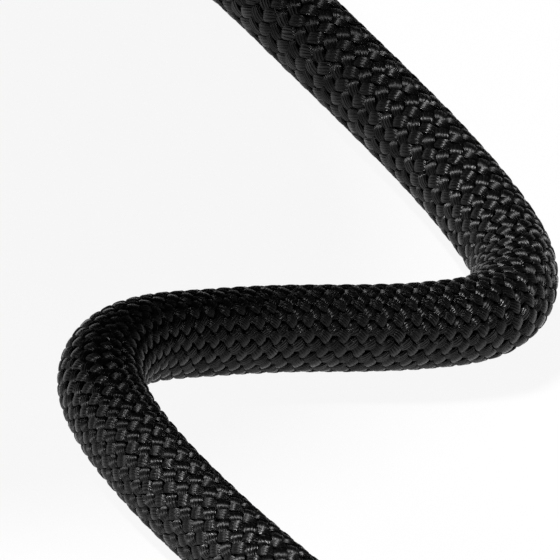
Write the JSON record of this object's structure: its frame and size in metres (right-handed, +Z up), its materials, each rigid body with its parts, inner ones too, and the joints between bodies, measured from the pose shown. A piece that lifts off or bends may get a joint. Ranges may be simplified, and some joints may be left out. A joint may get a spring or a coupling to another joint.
{
  "type": "dynamic climbing rope",
  "caption": "Black braided climbing rope with a twisted fibre core; a short length lies in a double bend and the rest is wound in a tied coil.",
  "frame": {"origin": "on the floor, under the middle of the footprint of the coil and the free end together", "axes": "+Z up, +X from the coil towards the free end"},
  "size_m": [0.3216, 0.2271, 0.1072],
  "materials": {
    "sheath": "satin black braided nylon",
    "core_strand": "matte white twisted nylon",
    "marker_tape": "thin satin plastic tape",
    "end_sleeve": "satin black shrunk tubing",
    "end_tip": "fused nylon, slightly glossy",
    "coil_tie": "matte dark grey woven webbing"
  },
  "bodies": {
    "root": {"sheath": "sheath", "marker_tape": "marker_tape", "core_strand_1": "core_strand", "core_strand_2": "core_strand", "core_strand_3": "core_strand", "core_strand_4": "core_strand", "core_strand_5": "core_strand", "core_strand_6": "core_strand", "core_strand_7": "core_strand", "core_strand_8": "core_strand", "core_strand_9": "core_strand", "core_strand_10": "core_strand", "core_strand_11": "core_strand", "core_strand_12": "core_strand", "coil_outer_turns": "sheath", "coil_inner_turns": "sheath", "free_end_sleeve": "end_sleeve", "coil_end_sleeve": "end_sleeve", "free_end_tip": "end_tip", "coil_end_tip": "end_tip", "coil_tie_1": "coil_tie", "coil_tie_2": "coil_tie", "coil_tie_3": "coil_tie"}
  },
  "joints": []
}
